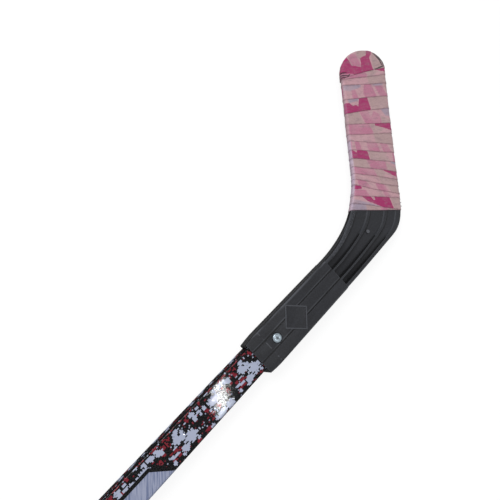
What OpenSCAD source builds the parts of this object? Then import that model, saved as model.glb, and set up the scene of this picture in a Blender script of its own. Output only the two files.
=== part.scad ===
// Hockey stick: laminated wooden shaft in a printed film, and a moulded, taped blade
// whose socket slides over the shaft and is held by one screw.
// Units are millimetres. The stick lies on its back: +X runs along the shaft towards
// the blade, +Y towards the toe, and +Z up, out of the blade's face.
// The origin is on the flat back of the socket, halfway along it, under the shaft's axis.

/* [Shaft] */
// Length of the wooden shaft, from its butt end to the bottom of the socket
shaft_len = 1080; // [800:5:1400]
// Broad side of the wood
shaft_w = 29; // [25:0.5:32]
// Thickness of the wood
shaft_t = 19; // [16:0.5:22]
// Rounding of the wood's long edges
shaft_r = 2; // [1:0.5:4]
// Thickness of each face veneer
veneer_t = 1.5; // [0.8:0.1:2.5]
// Thickness of the printed film around the wood
film_t = 0.3; // [0.2:0.05:0.6]

/* [Socket] */
// Length of the socket, from its mouth to the step
socket_len = 131; // [100:1:170]
// Solid end of the socket, between the pocket and the step
end_wall = 13; // [8:1:20]
// Walls in front of and behind the shaft
face_wall = 3; // [2.4:0.1:5]
// Wall on the toe side of the shaft
toe_wall = 4.4; // [3:0.1:8]
// Wall on the heel side of the shaft
heel_wall = 6.6; // [3:0.1:9]
// Clearance between the film and the pocket, on each side
pocket_gap = 0.2; // [0.1:0.05:0.4]
// Rounding of the socket's long edges
socket_r = 3; // [1.5:0.5:4]
// Length of the mouth's tapered lip
lip_len = 17; // [8:1:30]
// How far the lip draws in at the mouth, on each side
lip_draw = 1.6; // [0.5:0.1:2]

/* [Socket face] */
// Distance between the two long grooves
groove_pitch = 14; // [8:0.5:18]
// Width of a groove
groove_w = 1.4; // [0.8:0.1:2.5]
// Depth of a groove
groove_depth = 0.6; // [0.3:0.1:1]
// Side of the bare square badge, which stands on its corner
badge_side = 25; // [12:0.5:26]
// Width of the badge's rim
badge_rim = 1.3; // [0.8:0.1:3]
// Height of the badge's rim above the face
badge_rise = 0.5; // [0.3:0.1:1]
// Distance of the badge's centre from the mouth
badge_x = 60; // [50:1:75]

/* [Screw] */
// Distance of the screw from the mouth
screw_x = 29; // [22:1:35]
// Diameter over the screw's thread
screw_d = 4.8; // [3.5:0.1:5.5]
// Wood left behind the screw's tip
screw_cover = 5.7; // [5.5:0.1:6.5]
// Diameter of the screw's head
head_d = 10.6; // [7:0.1:11]
// Height of the screw's head
head_h = 2.8; // [1.8:0.1:3.5]
// Clearance around the thread in its hole, on the radius
thread_gap = 0.1; // [0.05:0.05:0.3]
// Clearance around the head in its recess, on the radius
head_gap = 0.7; // [0.5:0.1:0.8]
// Depth of the recess under the head
recess_depth = 0.8; // [0.3:0.1:1.4]

/* [Blade] */
// Angle that the blade turns away from the shaft's line
bend = 46.4; // [38:0.5:52]
// Distance from the socket's step to the heel's corner
neck_len = 123.5; // [110:0.5:150]
// Length of the blade along its lower edge, from the heel's corner to the toe
blade_len = 252; // [200:1:320]
// Height of the blade where it leaves the neck
blade_h = 64; // [50:0.5:70]
// Height of the blade at the toe
toe_h = 68.5; // [56:0.5:76]
// Thickness of the blade where the tape starts
blade_t = 8.4; // [7:0.5:12]
// Thickness of the blade at the toe
toe_t = 6; // [5:0.5:8]
// How far the toe curves up out of the blade's plane
toe_lift = 3; // [0:0.5:20]
// Radius between the neck and the blade's upper edge
neck_r = 160; // [120:5:200]
// Radius of the heel's corner
heel_r = 52; // [25:1:60]
// Radius of the toe's lower corner
toe_low_r = 23; // [20:1:34]
// Rounding of the blade's edges
edge_r = 2.4; // [1.5:0.1:2.5]
// Diameter of the round gate mark on the neck's face
gate_d = 4.6; // [3:0.1:6]
// Height of the gate mark above the blade's face
gate_rise = 1.1; // [0.9:0.1:1.3]
// How far the neck stands back from the socket's faces at the step
step_inset = 0.3; // [0.1:0.1:1]
// Thickness between the channels' floors at the step
web_t = 12; // [11:0.5:16]
// Depth of the channels where the tape begins
channel_end = 0.8; // [0.2:0.1:1.2]
// Width of the ribs' and flanges' sloping sides, as part of the neck's width
rib_side = 0.02; // [0.01:0.005:0.03]

/* [Tape] */
// Where the tape starts on the upper edge, as part of the turn from neck to blade
tape_turn = 0.58; // [0.4:0.02:0.8]
// Thickness of the half-lapped cloth tape on the blade
tape_t = 0.8; // [0.5:0.1:1.5]
// Thickness of the tape around the grip
grip_t = 0.8; // [0.5:0.1:1.5]
// Length of the taped grip beyond the knob
grip_len = 165; // [80:5:300]
// Length of the rolled tape knob
knob_len = 26; // [15:1:40]
// How far the knob stands out beyond the shaft's narrow sides
knob_rise = 3.6; // [2:0.1:6]

/* [Hidden] */
$fn = 48;

core_plies = 5;
ply_t = (shaft_t - 2 * veneer_t) / core_plies;
// overlap that joins or cuts cleanly
lap = 1;

// Shaft in its film
film_w = shaft_w + 2 * film_t;
film_h = shaft_t + 2 * film_t;
pocket_w = film_w + 2 * pocket_gap;
pocket_h = film_h + 2 * pocket_gap;

// Socket
socket_h = pocket_h + 2 * face_wall;
axis_z = socket_h / 2;
mouth_x = -socket_len / 2;
step_x = socket_len / 2;
pocket_end_x = step_x - end_wall;
toe_side = pocket_w / 2 + toe_wall;
heel_side = -pocket_w / 2 - heel_wall;
shaft_end_x = pocket_end_x - pocket_gap;
butt_x = shaft_end_x - shaft_len;

// Blade, seen from above
along = [cos(bend), sin(bend)];
across = [-sin(bend), cos(bend)];
heel = [step_x + neck_len, heel_side];
heel_tangent = heel_r * tan(bend / 2);
heel_arc = heel_r * bend * PI / 180;
heel_run = neck_len - heel_tangent;
upper_a = (toe_side - heel_side - blade_h * cos(bend)) / sin(bend);
upper_corner_x = heel[0] + blade_h * across[0] + upper_a * along[0];
neck_tangent = neck_r * tan(bend / 2);
neck_arc = neck_r * bend * PI / 180;
neck_run = upper_corner_x - neck_tangent - step_x;
square_a = upper_a + neck_tangent;
toe_high_r = toe_h - toe_low_r;
toe_a = blade_len - toe_high_r;

// Rings of the blade: neck, heel, straight part and toe
neck_rings = 24;
heel_rings = 7;
body_rings = 6;
toe_rings = 10;
tape_start = neck_rings;
toe_start = neck_rings + heel_rings + body_rings;
last_ring = toe_start + toe_rings;
// widest angle of the toe's rings
toe_sweep = 86;

// Places of the flanges, ribs and channels across the neck, from the heel side
flange_low = 0.11;
rib_low = [0.29, 0.34];
rib_high = [0.62, 0.67];
flange_high = 0.90;

function mix(a, b, f) = a + (b - a) * f;
function clamp01(f) = max(0, min(1, f));
function ease(f) = f * f * (3 - 2 * f);
function blade_point(a, b) = heel + a * along + b * across;
function blade_a(p) = (p - heel) * along;

// Edge of the neck and blade on the toe side, at a distance q from the step
function upper_edge(q) =
    let (turn = (q - neck_run) / neck_r * 180 / PI)
    q < neck_run ? [step_x + q, toe_side]
    : [step_x + neck_run + neck_r * sin(turn), toe_side + neck_r * (1 - cos(turn))];

// Edge of the neck and blade on the heel side, at a distance q from the step
function lower_edge(q) =
    let (turn = (q - heel_run) / heel_r * 180 / PI)
    q < heel_run ? [step_x + q, heel_side]
    : q < heel_run + heel_arc
        ? [step_x + heel_run + heel_r * sin(turn), heel_side + heel_r * (1 - cos(turn))]
        : blade_point(heel_tangent + q - heel_run - heel_arc, 0);

// Heights of the blade's edges at a distance a from the heel's corner
function body_h(a) = mix(blade_h, toe_h, clamp01((a - square_a) / (toe_a - square_a)));

// Lower and upper end of ring k, seen from above
function ring_ends(k) =
    k <= neck_rings
        ? let (f = k / neck_rings)
            [lower_edge(f * (heel_run + heel_arc)),
             upper_edge(f * (neck_run + neck_arc * tape_turn))]
    : k <= neck_rings + heel_rings
        ? let (f = (k - neck_rings) / heel_rings)
            [blade_point(mix(heel_tangent, square_a, f), 0),
             upper_edge(neck_run + neck_arc * mix(tape_turn, 1, f))]
    : k <= toe_start
        ? let (a = mix(square_a, toe_a, (k - neck_rings - heel_rings) / body_rings))
            [blade_point(a, 0), blade_point(a, body_h(a))]
    : let (a = toe_a + toe_high_r * sin(toe_sweep * (k - toe_start) / toe_rings),
           high = sqrt(pow(toe_high_r, 2) - pow(a - toe_a, 2)),
           low_run = max(0, a - blade_len + toe_low_r),
           low = sqrt(pow(toe_low_r, 2) - pow(low_run, 2)))
        [blade_point(a, toe_low_r - low), blade_point(a, toe_low_r + high)];

// How far ring k stands back from the line of the socket's faces
function inset(k) = step_inset * clamp01(1 - k / neck_rings);

// Half of the thickness over the flanges and ribs, and over the channels' floors
function flange_half(k) =
    k < neck_rings ? mix(axis_z - step_inset, blade_t / 2, ease(k / neck_rings))
    : mix(blade_t, toe_t, (k - neck_rings) / (last_ring - neck_rings)) / 2;
function floor_half(k) =
    k < neck_rings
        ? min(flange_half(k), mix(web_t / 2, blade_t / 2 - channel_end, k / neck_rings))
    : flange_half(k);

// Rise of the blade's middle plane at ring k
function rise(k) =
    let (ends = ring_ends(k), a = blade_a((ends[0] + ends[1]) / 2))
    toe_lift * pow(clamp01((a - heel_tangent) / (blade_len - heel_tangent)), 2);

// Places and half heights of the front of ring k, from the heel side to the toe side
function ring_front(k, grow) =
    let (ends = ring_ends(k),
         width = norm(ends[1] - ends[0]) + 2 * (grow - inset(k)),
         high = flange_half(k) + grow,
         floor_z = floor_half(k) + grow,
         blend_r = k < neck_rings ? mix(socket_r, edge_r, k / neck_rings) : edge_r,
         r = min(blend_r, 0.45 * width) + grow,
         side = rib_side * width,
         cut = 1 - sqrt(0.5))
    [[0, high - r], [cut * r, high - cut * r], [r, high],
     [flange_low * width, high], [flange_low * width + side, floor_z],
     [rib_low[0] * width - side, floor_z], [rib_low[0] * width, high],
     [rib_low[1] * width, high], [rib_low[1] * width + side, floor_z],
     [rib_high[0] * width - side, floor_z], [rib_high[0] * width, high],
     [rib_high[1] * width, high], [rib_high[1] * width + side, floor_z],
     [flange_high * width - side, floor_z], [flange_high * width, high],
     [width - r, high], [width - cut * r, high - cut * r], [width, high - r]];
half_points = 18;
ring_points = 2 * half_points;

// Ring k of the blade, grown outwards, with its front first and then its back
function ring(k, grow = 0) =
    let (ends = ring_ends(k),
         way = (ends[1] - ends[0]) / norm(ends[1] - ends[0]),
         tip = k == last_ring ? grow : 0,
         start = ends[0] - (grow - inset(k)) * way + tip * along,
         front = ring_front(k, grow),
         mid_z = axis_z + rise(k))
    [for (i = [0:half_points - 1])
        [start[0] + front[i][0] * way[0], start[1] + front[i][0] * way[1],
         mid_z + front[i][1]],
     for (i = [half_points - 1:-1:0])
        [start[0] + front[i][0] * way[0], start[1] + front[i][0] * way[1],
         mid_z - front[i][1]]];

// Triangles between ring m and the next one of a stack, optionally turned inside out
function strip(m, n, flip = false) =
    [for (i = [0:n - 1])
        let (a = m * n + i, b = m * n + (i + 1) % n, c = b + n, d = a + n)
        each flip ? [[a, c, b], [a, d, c]] : [[a, b, c], [a, c, d]]];

// Triangles that close ring m, between its front and its back
function lid(m, n, flip = false) =
    [for (i = [0:n / 2 - 2])
        let (a = m * n + i, b = a + 1, c = m * n + n - 2 - i, d = c + 1)
        each flip ? [[a, b, c], [a, c, d]] : [[a, c, b], [a, d, c]]];

// Triangles of the edge between ring m and ring p of a stack
function rim(m, p, n, flip = false) =
    [for (i = [0:n - 1])
        let (a = m * n + i, b = m * n + (i + 1) % n, c = p * n + (i + 1) % n, d = p * n + i)
        each flip ? [[a, c, b], [a, d, c]] : [[a, b, c], [a, c, d]]];

// Bar along X with true round edges, centred on the shaft's axis
module rounded_bar(x0, x1, w, h, r) {
    translate([x0, 0, axis_z])
        rotate([90, 0, 90])
            linear_extrude(x1 - x0) {
                square([w - 2 * r, h], center = true);
                square([w, h - 2 * r], center = true);
                for (y = [-1, 1], z = [-1, 1])
                    translate([y * (w / 2 - r), z * (h / 2 - r)])
                        circle(r);
            }
}

module screw_hole(d, z0, z1) {
    translate([mouth_x + screw_x, 0, z0])
        cylinder(d = d, h = z1 - z0);
}

// One layer of the wood, between two distances from the back of the shaft
module ply(low, high) {
    difference() {
        intersection() {
            rounded_bar(butt_x, shaft_end_x, shaft_w, shaft_t, shaft_r);
            translate([butt_x, -shaft_w / 2, axis_z - shaft_t / 2 + low])
                cube([shaft_len, shaft_w, high - low]);
        }
        screw_hole(screw_d + 2 * thread_gap, screw_tip_z - thread_gap, socket_h);
    }
}

module core_ply(number) {
    color(number % 2 == 0 ? "burlywood" : "wheat")
        ply(veneer_t + (number - 1) * ply_t, veneer_t + number * ply_t);
}

module front_veneer() {
    color("tan")
        ply(shaft_t - veneer_t, shaft_t);
}

module back_veneer() {
    color("tan")
        ply(0, veneer_t);
}

module printed_film() {
    color("#1b1b22")
        difference() {
            rounded_bar(butt_x, shaft_end_x, film_w, film_h, shaft_r + film_t);
            rounded_bar(butt_x - lap, shaft_end_x + lap, shaft_w, shaft_t, shaft_r);
            screw_hole(screw_d + 2 * thread_gap, axis_z, socket_h);
        }
}

// Outside of the socket: a rounded bar, drawn in around its mouth
module socket_outside() {
    middle_y = (toe_side + heel_side) / 2;
    intersection() {
        translate([0, middle_y, 0])
            rounded_bar(mouth_x, step_x, toe_side - heel_side, socket_h, socket_r);
        linear_extrude(socket_h)
            polygon([[mouth_x, heel_side + lip_draw], [mouth_x + lip_len, heel_side],
                [step_x, heel_side], [step_x, toe_side],
                [mouth_x + lip_len, toe_side], [mouth_x, toe_side - lip_draw]]);
        translate([0, toe_side, 0])
            rotate([90, 0, 0])
                linear_extrude(toe_side - heel_side)
                    polygon([[mouth_x, lip_draw], [mouth_x + lip_len, 0],
                        [step_x, 0], [step_x, socket_h],
                        [mouth_x + lip_len, socket_h], [mouth_x, socket_h - lip_draw]]);
    }
}

module badge(side, z0, z1) {
    translate([mouth_x + badge_x, 0, z0])
        rotate([0, 0, 45])
            translate([-side / 2, -side / 2, 0])
                cube([side, side, z1 - z0]);
}

// The two long grooves of the socket's face, which follow the lip down and stop at the badge
module grooves() {
    floor_z = socket_h - groove_depth;
    difference() {
        for (side = [-1, 1])
            translate([0, side * groove_pitch / 2 + groove_w / 2, 0])
                rotate([90, 0, 0])
                    linear_extrude(groove_w)
                        polygon([[mouth_x - lap, floor_z - lip_draw * (lip_len + lap) / lip_len],
                            [mouth_x + lip_len, floor_z], [step_x + lap, floor_z],
                            [step_x + lap, socket_h + lap], [mouth_x - lap, socket_h + lap]]);
        badge(badge_side, socket_h - 2 * groove_depth, socket_h + 2 * lap);
    }
}

module neck_and_blade() {
    rings = [for (k = [0:last_ring]) each ring(k)];
    polyhedron(
        points = rings,
        faces = [
            each lid(0, ring_points),
            for (k = [0:last_ring - 1]) each strip(k, ring_points),
            each lid(last_ring, ring_points, true)
        ]);
}

// The round mark on the neck's face where the plastic entered the mould
module gate_mark() {
    translate([heel[0] - 47.7, heel[1] + 26.2, axis_z])
        cylinder(d = gate_d, h = blade_t / 2 + gate_rise);
}

module blade() {
    color("#3a3b40")
        difference() {
            union() {
                socket_outside();
                badge(badge_side, socket_h - face_wall, socket_h + badge_rise);
                neck_and_blade();
                gate_mark();
            }
            badge(badge_side - 2 * badge_rim, socket_h, socket_h + 2 * badge_rise);
            grooves();
            translate([mouth_x - lap, -pocket_w / 2, axis_z - pocket_h / 2])
                cube([pocket_end_x - mouth_x + lap, pocket_w, pocket_h]);
            screw_hole(screw_d + 2 * thread_gap, axis_z, socket_h + lap);
            screw_hole(head_d + 2 * head_gap, screw_seat_z, socket_h + lap);
        }
}

// Pan-head wood screw with a cross recess
screw_seat_z = axis_z + socket_h / 2 - recess_depth;
screw_tip_z = axis_z - shaft_t / 2 + screw_cover;
screw_len = screw_seat_z - screw_tip_z;
thread_pitch = 1.6;
thread_root = 0.72;
point_len = 4;
drive_w = 1.3;
drive_len = 0.55;
drive_depth = 0.6;

function thread_profile() =
    let (r = screw_d / 2,
         turns = floor((screw_len - point_len) / thread_pitch))
    [[0, -screw_len], [thread_root * r / 2, -screw_len + point_len / 3],
     for (i = [0:turns - 1])
        let (z = -screw_len + point_len + i * thread_pitch)
        each [[thread_root * r, z], [r, z + 0.4 * thread_pitch], [r, z + 0.6 * thread_pitch]],
     [thread_root * r, -screw_len + point_len + turns * thread_pitch],
     [thread_root * r, lap / 2], [0, lap / 2]];

module socket_screw() {
    dome_r = (pow(head_d / 2, 2) + pow(head_h, 2)) / (2 * head_h);
    color("silver")
        translate([mouth_x + screw_x, 0, screw_seat_z])
            difference() {
                union() {
                    rotate_extrude()
                        polygon(thread_profile());
                    intersection() {
                        cylinder(d = head_d, h = head_h);
                        translate([0, 0, head_h - dome_r])
                            sphere(r = dome_r);
                    }
                }
                for (turn = [0, 90])
                    rotate([0, 0, turn])
                        translate([-drive_len * head_d / 2, -drive_w / 2, head_h * (1 - drive_depth)])
                            cube([drive_len * head_d, drive_w, head_h]);
            }
}

module blade_tape() {
    count = toe_start - tape_start + 1;
    outer = [for (k = [tape_start:toe_start]) each ring(k, tape_t)];
    inner = [for (k = [tape_start:toe_start]) each ring(k)];
    color("#c08aa6")
        polyhedron(
            points = concat(outer, inner),
            faces = [
                for (m = [0:count - 2]) each strip(m, ring_points),
                for (m = [0:count - 2]) each strip(m + count, ring_points, true),
                each rim(0, count, ring_points, true),
                each rim(count - 1, 2 * count - 1, ring_points)
            ]);
}

module toe_tape() {
    count = last_ring - toe_start + 1;
    outer = [for (k = [toe_start:last_ring]) each ring(k, tape_t)];
    inner = [for (k = [toe_start:last_ring]) each ring(k)];
    color("#a0336b")
        polyhedron(
            points = concat(outer, inner),
            faces = [
                for (m = [0:count - 2]) each strip(m, ring_points),
                for (m = [0:count - 2]) each strip(m + count, ring_points, true),
                each rim(0, count, ring_points, true),
                each lid(count - 1, ring_points, true),
                each lid(2 * count - 1, ring_points)
            ]);
}

// Sleeve of tape around the film, between two places along the shaft
module tape_sleeve(x0, x1, w, h, r) {
    difference() {
        rounded_bar(x0, x1, w, h, r);
        rounded_bar(x0 - lap, x1 + lap, film_w, film_h, shaft_r + film_t);
    }
}

module grip_tape() {
    color("#c08aa6")
        tape_sleeve(butt_x + knob_len, butt_x + knob_len + grip_len,
            film_w + 2 * grip_t, film_h + 2 * grip_t, shaft_r + film_t + grip_t);
}

module knob_tape() {
    color("#b9859f")
        tape_sleeve(butt_x, butt_x + knob_len,
            film_w + 2 * knob_rise, socket_h, shaft_r + film_t + knob_rise / 2);
}

front_veneer();
core_ply(1);  // core_ply_1
core_ply(2);  // core_ply_2
core_ply(3);  // core_ply_3
core_ply(4);  // core_ply_4
core_ply(5);  // core_ply_5
back_veneer();
printed_film();
blade();
socket_screw();
blade_tape();
toe_tape();
grip_tape();
knob_tape();
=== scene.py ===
import math

import bpy
import numpy as np
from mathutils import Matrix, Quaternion, Vector, noise


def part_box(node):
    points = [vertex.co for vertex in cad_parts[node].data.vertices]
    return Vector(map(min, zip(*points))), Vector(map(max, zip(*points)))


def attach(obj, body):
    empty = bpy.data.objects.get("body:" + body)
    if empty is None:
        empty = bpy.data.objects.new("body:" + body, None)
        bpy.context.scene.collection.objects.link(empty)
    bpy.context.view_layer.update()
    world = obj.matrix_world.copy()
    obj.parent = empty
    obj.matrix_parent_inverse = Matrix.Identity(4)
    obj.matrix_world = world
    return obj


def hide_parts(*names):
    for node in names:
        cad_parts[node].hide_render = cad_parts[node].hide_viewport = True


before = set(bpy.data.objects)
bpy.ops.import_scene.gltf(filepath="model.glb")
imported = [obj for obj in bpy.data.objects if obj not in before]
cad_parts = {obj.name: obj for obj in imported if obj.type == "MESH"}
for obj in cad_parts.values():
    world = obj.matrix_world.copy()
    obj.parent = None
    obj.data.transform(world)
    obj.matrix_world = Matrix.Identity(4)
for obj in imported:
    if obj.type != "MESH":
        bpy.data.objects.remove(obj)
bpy.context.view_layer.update()        # the hockey stick, as built

MM = 0.001

# ---- Sizes, in metres. The stick lies on its back: +X to the blade, +Z out of its face ----

SOCKET_LOW, SOCKET_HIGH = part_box("blade")
FILM_LOW, FILM_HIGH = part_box("printed_film")
MOUTH_X = SOCKET_LOW.x
STEP_X = -MOUTH_X
AXIS_Z = (FILM_LOW.z + FILM_HIGH.z) / 2
FILM_HALF_W = FILM_HIGH.y
FILM_HALF_T = FILM_HIGH.z - AXIS_Z
FILM_CORNER = 2.3 * MM

# The blade, seen from above: distances run from the heel's corner along and across it
BEND = math.radians(46.4)
ALONG = np.array([math.cos(BEND), math.sin(BEND)])
ACROSS = np.array([-math.sin(BEND), math.cos(BEND)])
HEEL = np.array([STEP_X + 123.5 * MM, SOCKET_LOW.y])
HEEL_R = 52 * MM
HEEL_TANGENT = HEEL_R * math.tan(BEND / 2)
NECK_R = 160 * MM
SQUARE_A = 64.3 * MM
BLADE_H = 64 * MM
TOE_H = 68.5 * MM
TOE_LOW_R = 23 * MM
TOE_HIGH_R = TOE_H - TOE_LOW_R
BLADE_LEN = 252 * MM
TOE_A = BLADE_LEN - TOE_HIGH_R
NECK_TURN = HEEL + SQUARE_A * ALONG + (BLADE_H + NECK_R) * ACROSS
TOE_SIDE = FILM_HALF_W + 4.6 * MM
TOE_LIFT = 3 * MM
EDGE_R = 2.4 * MM
# Half its thickness, and the places that it is measured at along the blade, in millimetres
HALF_THICK = [4.2, 3.85, 3.55, 3.0]
THICK_AT = [17, 64, 206, 252]

# The socket's face, and the mark of the mould's gate in the neck
GROOVE_Y = 7 * MM
BADGE_X = MOUTH_X + 60 * MM
BADGE_REACH = 17.6 * MM
CREST_X = MOUTH_X + 17 * MM
PARTING_Z = AXIS_Z + 4 * MM
GATE = (HEEL[0] - 47.7 * MM, HEEL[1] + 26.2 * MM, 0)

# Cloth tape
TAPE_W = 24 * MM
CLOTH_T = 0.34 * MM
PLY_T = 0.36 * MM
TURN_LEN = 146 * MM
FAR = 9.0     # millimetres to the next turn's edge, where there is none

# How a turn of tape is shared between the front, the lower edge, the back and the upper edge
FRONT = 0.42
HALF = 0.5
BACK = 0.92

# Each turn's free edge on the face of the blade: where it starts at the upper edge, where it
# reaches the lower edge, and how far the print has slipped along the tape, in millimetres
LAPS = [(12, 18, 0), (21, 19, 0), (31, 35, 0), (46, 40, 0), (54, 50, 0), (62, 60, 3),
        (71, 71, 0), (82, 85, 11), (94, 99, 4), (107, 111, 0), (116, 127, 0), (131, 142, 0),
        (147, 165, 0), (167, 184, 0), (188, 204, 0), (197, 218, 0), (206, 225, 0)]

# The painted highlight, a pale strip beside the blade's upper edge: its middle as a share of a
# turn, half its width in millimetres, and the turn after which it is faint
HIGHLIGHT_STRIP_AT = 0.955
HIGHLIGHT_STRIP_HALF = 5.6
HIGHLIGHT_STRIP_TURNS = 9.6


# ---- Small helpers for materials ----

def srgb(red, green, blue):
    """A display colour, 0 to 255, as the linear colour that a shader takes"""
    def linear(value):
        value /= 255
        return value / 12.92 if value <= 0.04045 else ((value + 0.055) / 1.055) ** 2.4
    return (linear(red), linear(green), linear(blue), 1)


def new_finish(name, roughness, specular=0.5):
    """A material, its node tree and its shader"""
    material = bpy.data.materials.new(name)
    material.use_nodes = True
    tree = material.node_tree
    shader = tree.nodes["Principled BSDF"]
    shader.inputs["Roughness"].default_value = roughness
    shader.inputs["Specular IOR Level"].default_value = specular
    return material, tree, shader


class Value:
    """A node's output, with the arithmetic that makes further nodes"""

    def __init__(self, socket):
        self.socket = socket
        self.tree = socket.id_data

    def __add__(self, other):
        return calc("ADD", self, other)

    def __sub__(self, other):
        return calc("SUBTRACT", self, other)

    def __rsub__(self, other):
        return calc("SUBTRACT", other, self)

    def __mul__(self, other):
        return calc("MULTIPLY", self, other)

    def __lt__(self, other):
        return calc("LESS_THAN", self, other)

    def __gt__(self, other):
        return calc("GREATER_THAN", self, other)

    def __abs__(self):
        return calc("ABSOLUTE", self)


def feed(socket, value):
    """Puts a number, a colour or another node's value into a socket"""
    if isinstance(value, Value):
        value.tree.links.new(value.socket, socket)
    else:
        socket.default_value = value


def add_node(kind, *values):
    """A node in the tree of the first value that has one, with the values put into it"""
    tree = next(value.tree for value in values if isinstance(value, Value))
    node = tree.nodes.new(kind)
    for socket, value in zip(node.inputs, values):
        feed(socket, value)
    return node


def calc(operation, *values):
    node = add_node("ShaderNodeMath", *values)
    node.operation = operation
    return Value(node.outputs[0])


def calc_vector(operation, *values):
    node = add_node("ShaderNodeVectorMath", *values)
    node.operation = operation
    number = operation in ("LENGTH", "DISTANCE", "DOT_PRODUCT")
    return Value(node.outputs["Value" if number else "Vector"])


def ramp(value, low, high):
    """0 below low, 1 above high, smooth between them"""
    node = add_node("ShaderNodeMapRange", value, low, high)
    node.interpolation_type = "SMOOTHSTEP"
    return Value(node.outputs["Result"])


def fall(value, low, high):
    """1 below low, 0 above high, smooth between them"""
    return 1 - ramp(value, low, high)


def near(value, middle, half, soft):
    """1 within half of the middle, and 0 further off"""
    return fall(abs(value - middle), half, half + soft)


def blend(share, below, above):
    """Colour below, covered by colour above by that share"""
    node = add_node("ShaderNodeMix", share)
    node.data_type = "RGBA"
    feed(node.inputs[6], below)
    feed(node.inputs[7], above)
    return Value(node.outputs[2])


def tint(colour, over, share):
    """The colour, covered by a display colour by that share"""
    return blend(share, colour, srgb(*over))


def split(vector):
    return [Value(part) for part in add_node("ShaderNodeSeparateXYZ", vector).outputs]


def join(x, y, z=0.0):
    return Value(add_node("ShaderNodeCombineXYZ", x, y, z).outputs[0])


def grain(vector, scale, detail=2.0, rough=0.5):
    node = add_node("ShaderNodeTexNoise", vector)
    node.inputs["Scale"].default_value = scale
    node.inputs["Detail"].default_value = detail
    node.inputs["Roughness"].default_value = rough
    return Value(node.outputs["Fac"])


def stretched(vector, scale, turn=(0, 0, 0)):
    node = add_node("ShaderNodeMapping", vector)
    node.inputs["Scale"].default_value = scale
    node.inputs["Rotation"].default_value = turn
    return Value(node.outputs[0])


def turned(vector, degrees):
    """The same places, turned about Z"""
    return stretched(vector, (1, 1, 1), (0, 0, math.radians(degrees)))


def emboss(shader, height, distance, strength=1.0, under=None, socket="Normal"):
    """A bump, on top of the one under it; it goes into the shader, if one is given"""
    node = height.tree.nodes.new("ShaderNodeBump")
    feed(node.inputs["Height"], height)
    node.inputs["Distance"].default_value = distance
    node.inputs["Strength"].default_value = strength
    bump = Value(node.outputs[0])
    if under is not None:
        feed(node.inputs["Normal"], under)
    if shader is not None:
        feed(shader.inputs[socket], bump)
    return bump


def stored(tree, name):
    """What the mesh stores under that name"""
    node = tree.nodes.new("ShaderNodeAttribute")
    node.attribute_name = name
    return Value(node.outputs["Fac"])


def position(tree, kind="Object"):
    return Value(tree.nodes.new("ShaderNodeTexCoord").outputs[kind])


def openness(tree, reach, inside=False):
    """1 on an open face, and less in a corner, or on an edge where it looks inside"""
    node = tree.nodes.new("ShaderNodeAmbientOcclusion")
    node.samples = 8
    node.inside = inside
    node.only_local = True
    node.inputs["Distance"].default_value = reach
    return Value(node.outputs["AO"])


# ---- Finishes ----

# The film's print, in millimetres: distance along one repeat, distance across, and the two
# half sizes of each patch. The print repeats along the shaft.
REPEAT = 86.5
PRINT_START = -178
CELL = (1.25, 1.15, 1)
# The bare panel: its middle, half its length at its upper edge, that edge, and its border
PANEL_X = -252
PANEL_HALF = 46
PANEL_Y = 2
BORDER = 3.4
BACK_SHIFT = 40 * MM
PALE_PATCHES = [
    (8, 3, 6.6, 4.6), (16.5, -4.5, 7.6, 5.2), (7, -8.5, 4.6, 3.2), (9, 9.2, 3.3, 1.6),
    (2.5, -11.5, 2.3, 1.3), (0, -0.9, 2.2, 0.9), (21.5, -10.3, 1.8, 1.3), (15, 10, 0.8, 0.8),
    (20, 8, 0.8, 0.8), (22.3, 4, 0.8, 0.8), (26.5, -5.3, 1.1, 1), (29, -7.3, 0.9, 0.8),
    (32.7, -9, 0.8, 0.8), (29, 9.3, 3.3, 2.1), (29.5, 4.8, 2.2, 3.4), (37, 9.6, 2, 1.4),
    (35.5, 6.2, 3, 1.3), (36.5, 3.2, 1.3, 2.2), (41.5, 5, 2.2, 1.9), (53, 3.5, 6.7, 3.7),
    (58, 8.5, 2.4, 2.2), (64, 9, 2.3, 1.9), (51.5, 12.6, 2.5, 1), (45, -1.6, 2.6, 1.1),
    (49, -4.3, 1.2, 2.5), (51, -11.2, 7.6, 3), (63, -11, 5, 3.6), (38, -13, 2.3, 1.8),
    (74, 6.8, 4.3, 2.4), (72, 9.3, 1.6, 1.4), (66, 8.3, 3.6, 2.6), (75.5, 4.2, 1.8, 1.4),
    (79.5, -5.2, 2.5, 1.6), (84, -6.4, 3.4, 1.4), (78.5, -10.5, 1.8, 1.9), (78, 13, 0.8, 0.8),
    (84.3, 2.2, 0.8, 0.8), (35.5, 31, 3, 4),
    (37, 23, 2.6, 3.4), (49, 26, 4, 3), (53, 32, 3, 4), (8, 30, 5, 4), (5, 23, 3, 2.5),
    (63, 25, 2.5, 3), (78, 29, 4, 3), (70, -24, 5, 3.4), (73, -31, 4, 3), (20, -29, 6, 3),
    (16, -22, 3, 3), (45, -26, 5, 4)]
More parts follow.
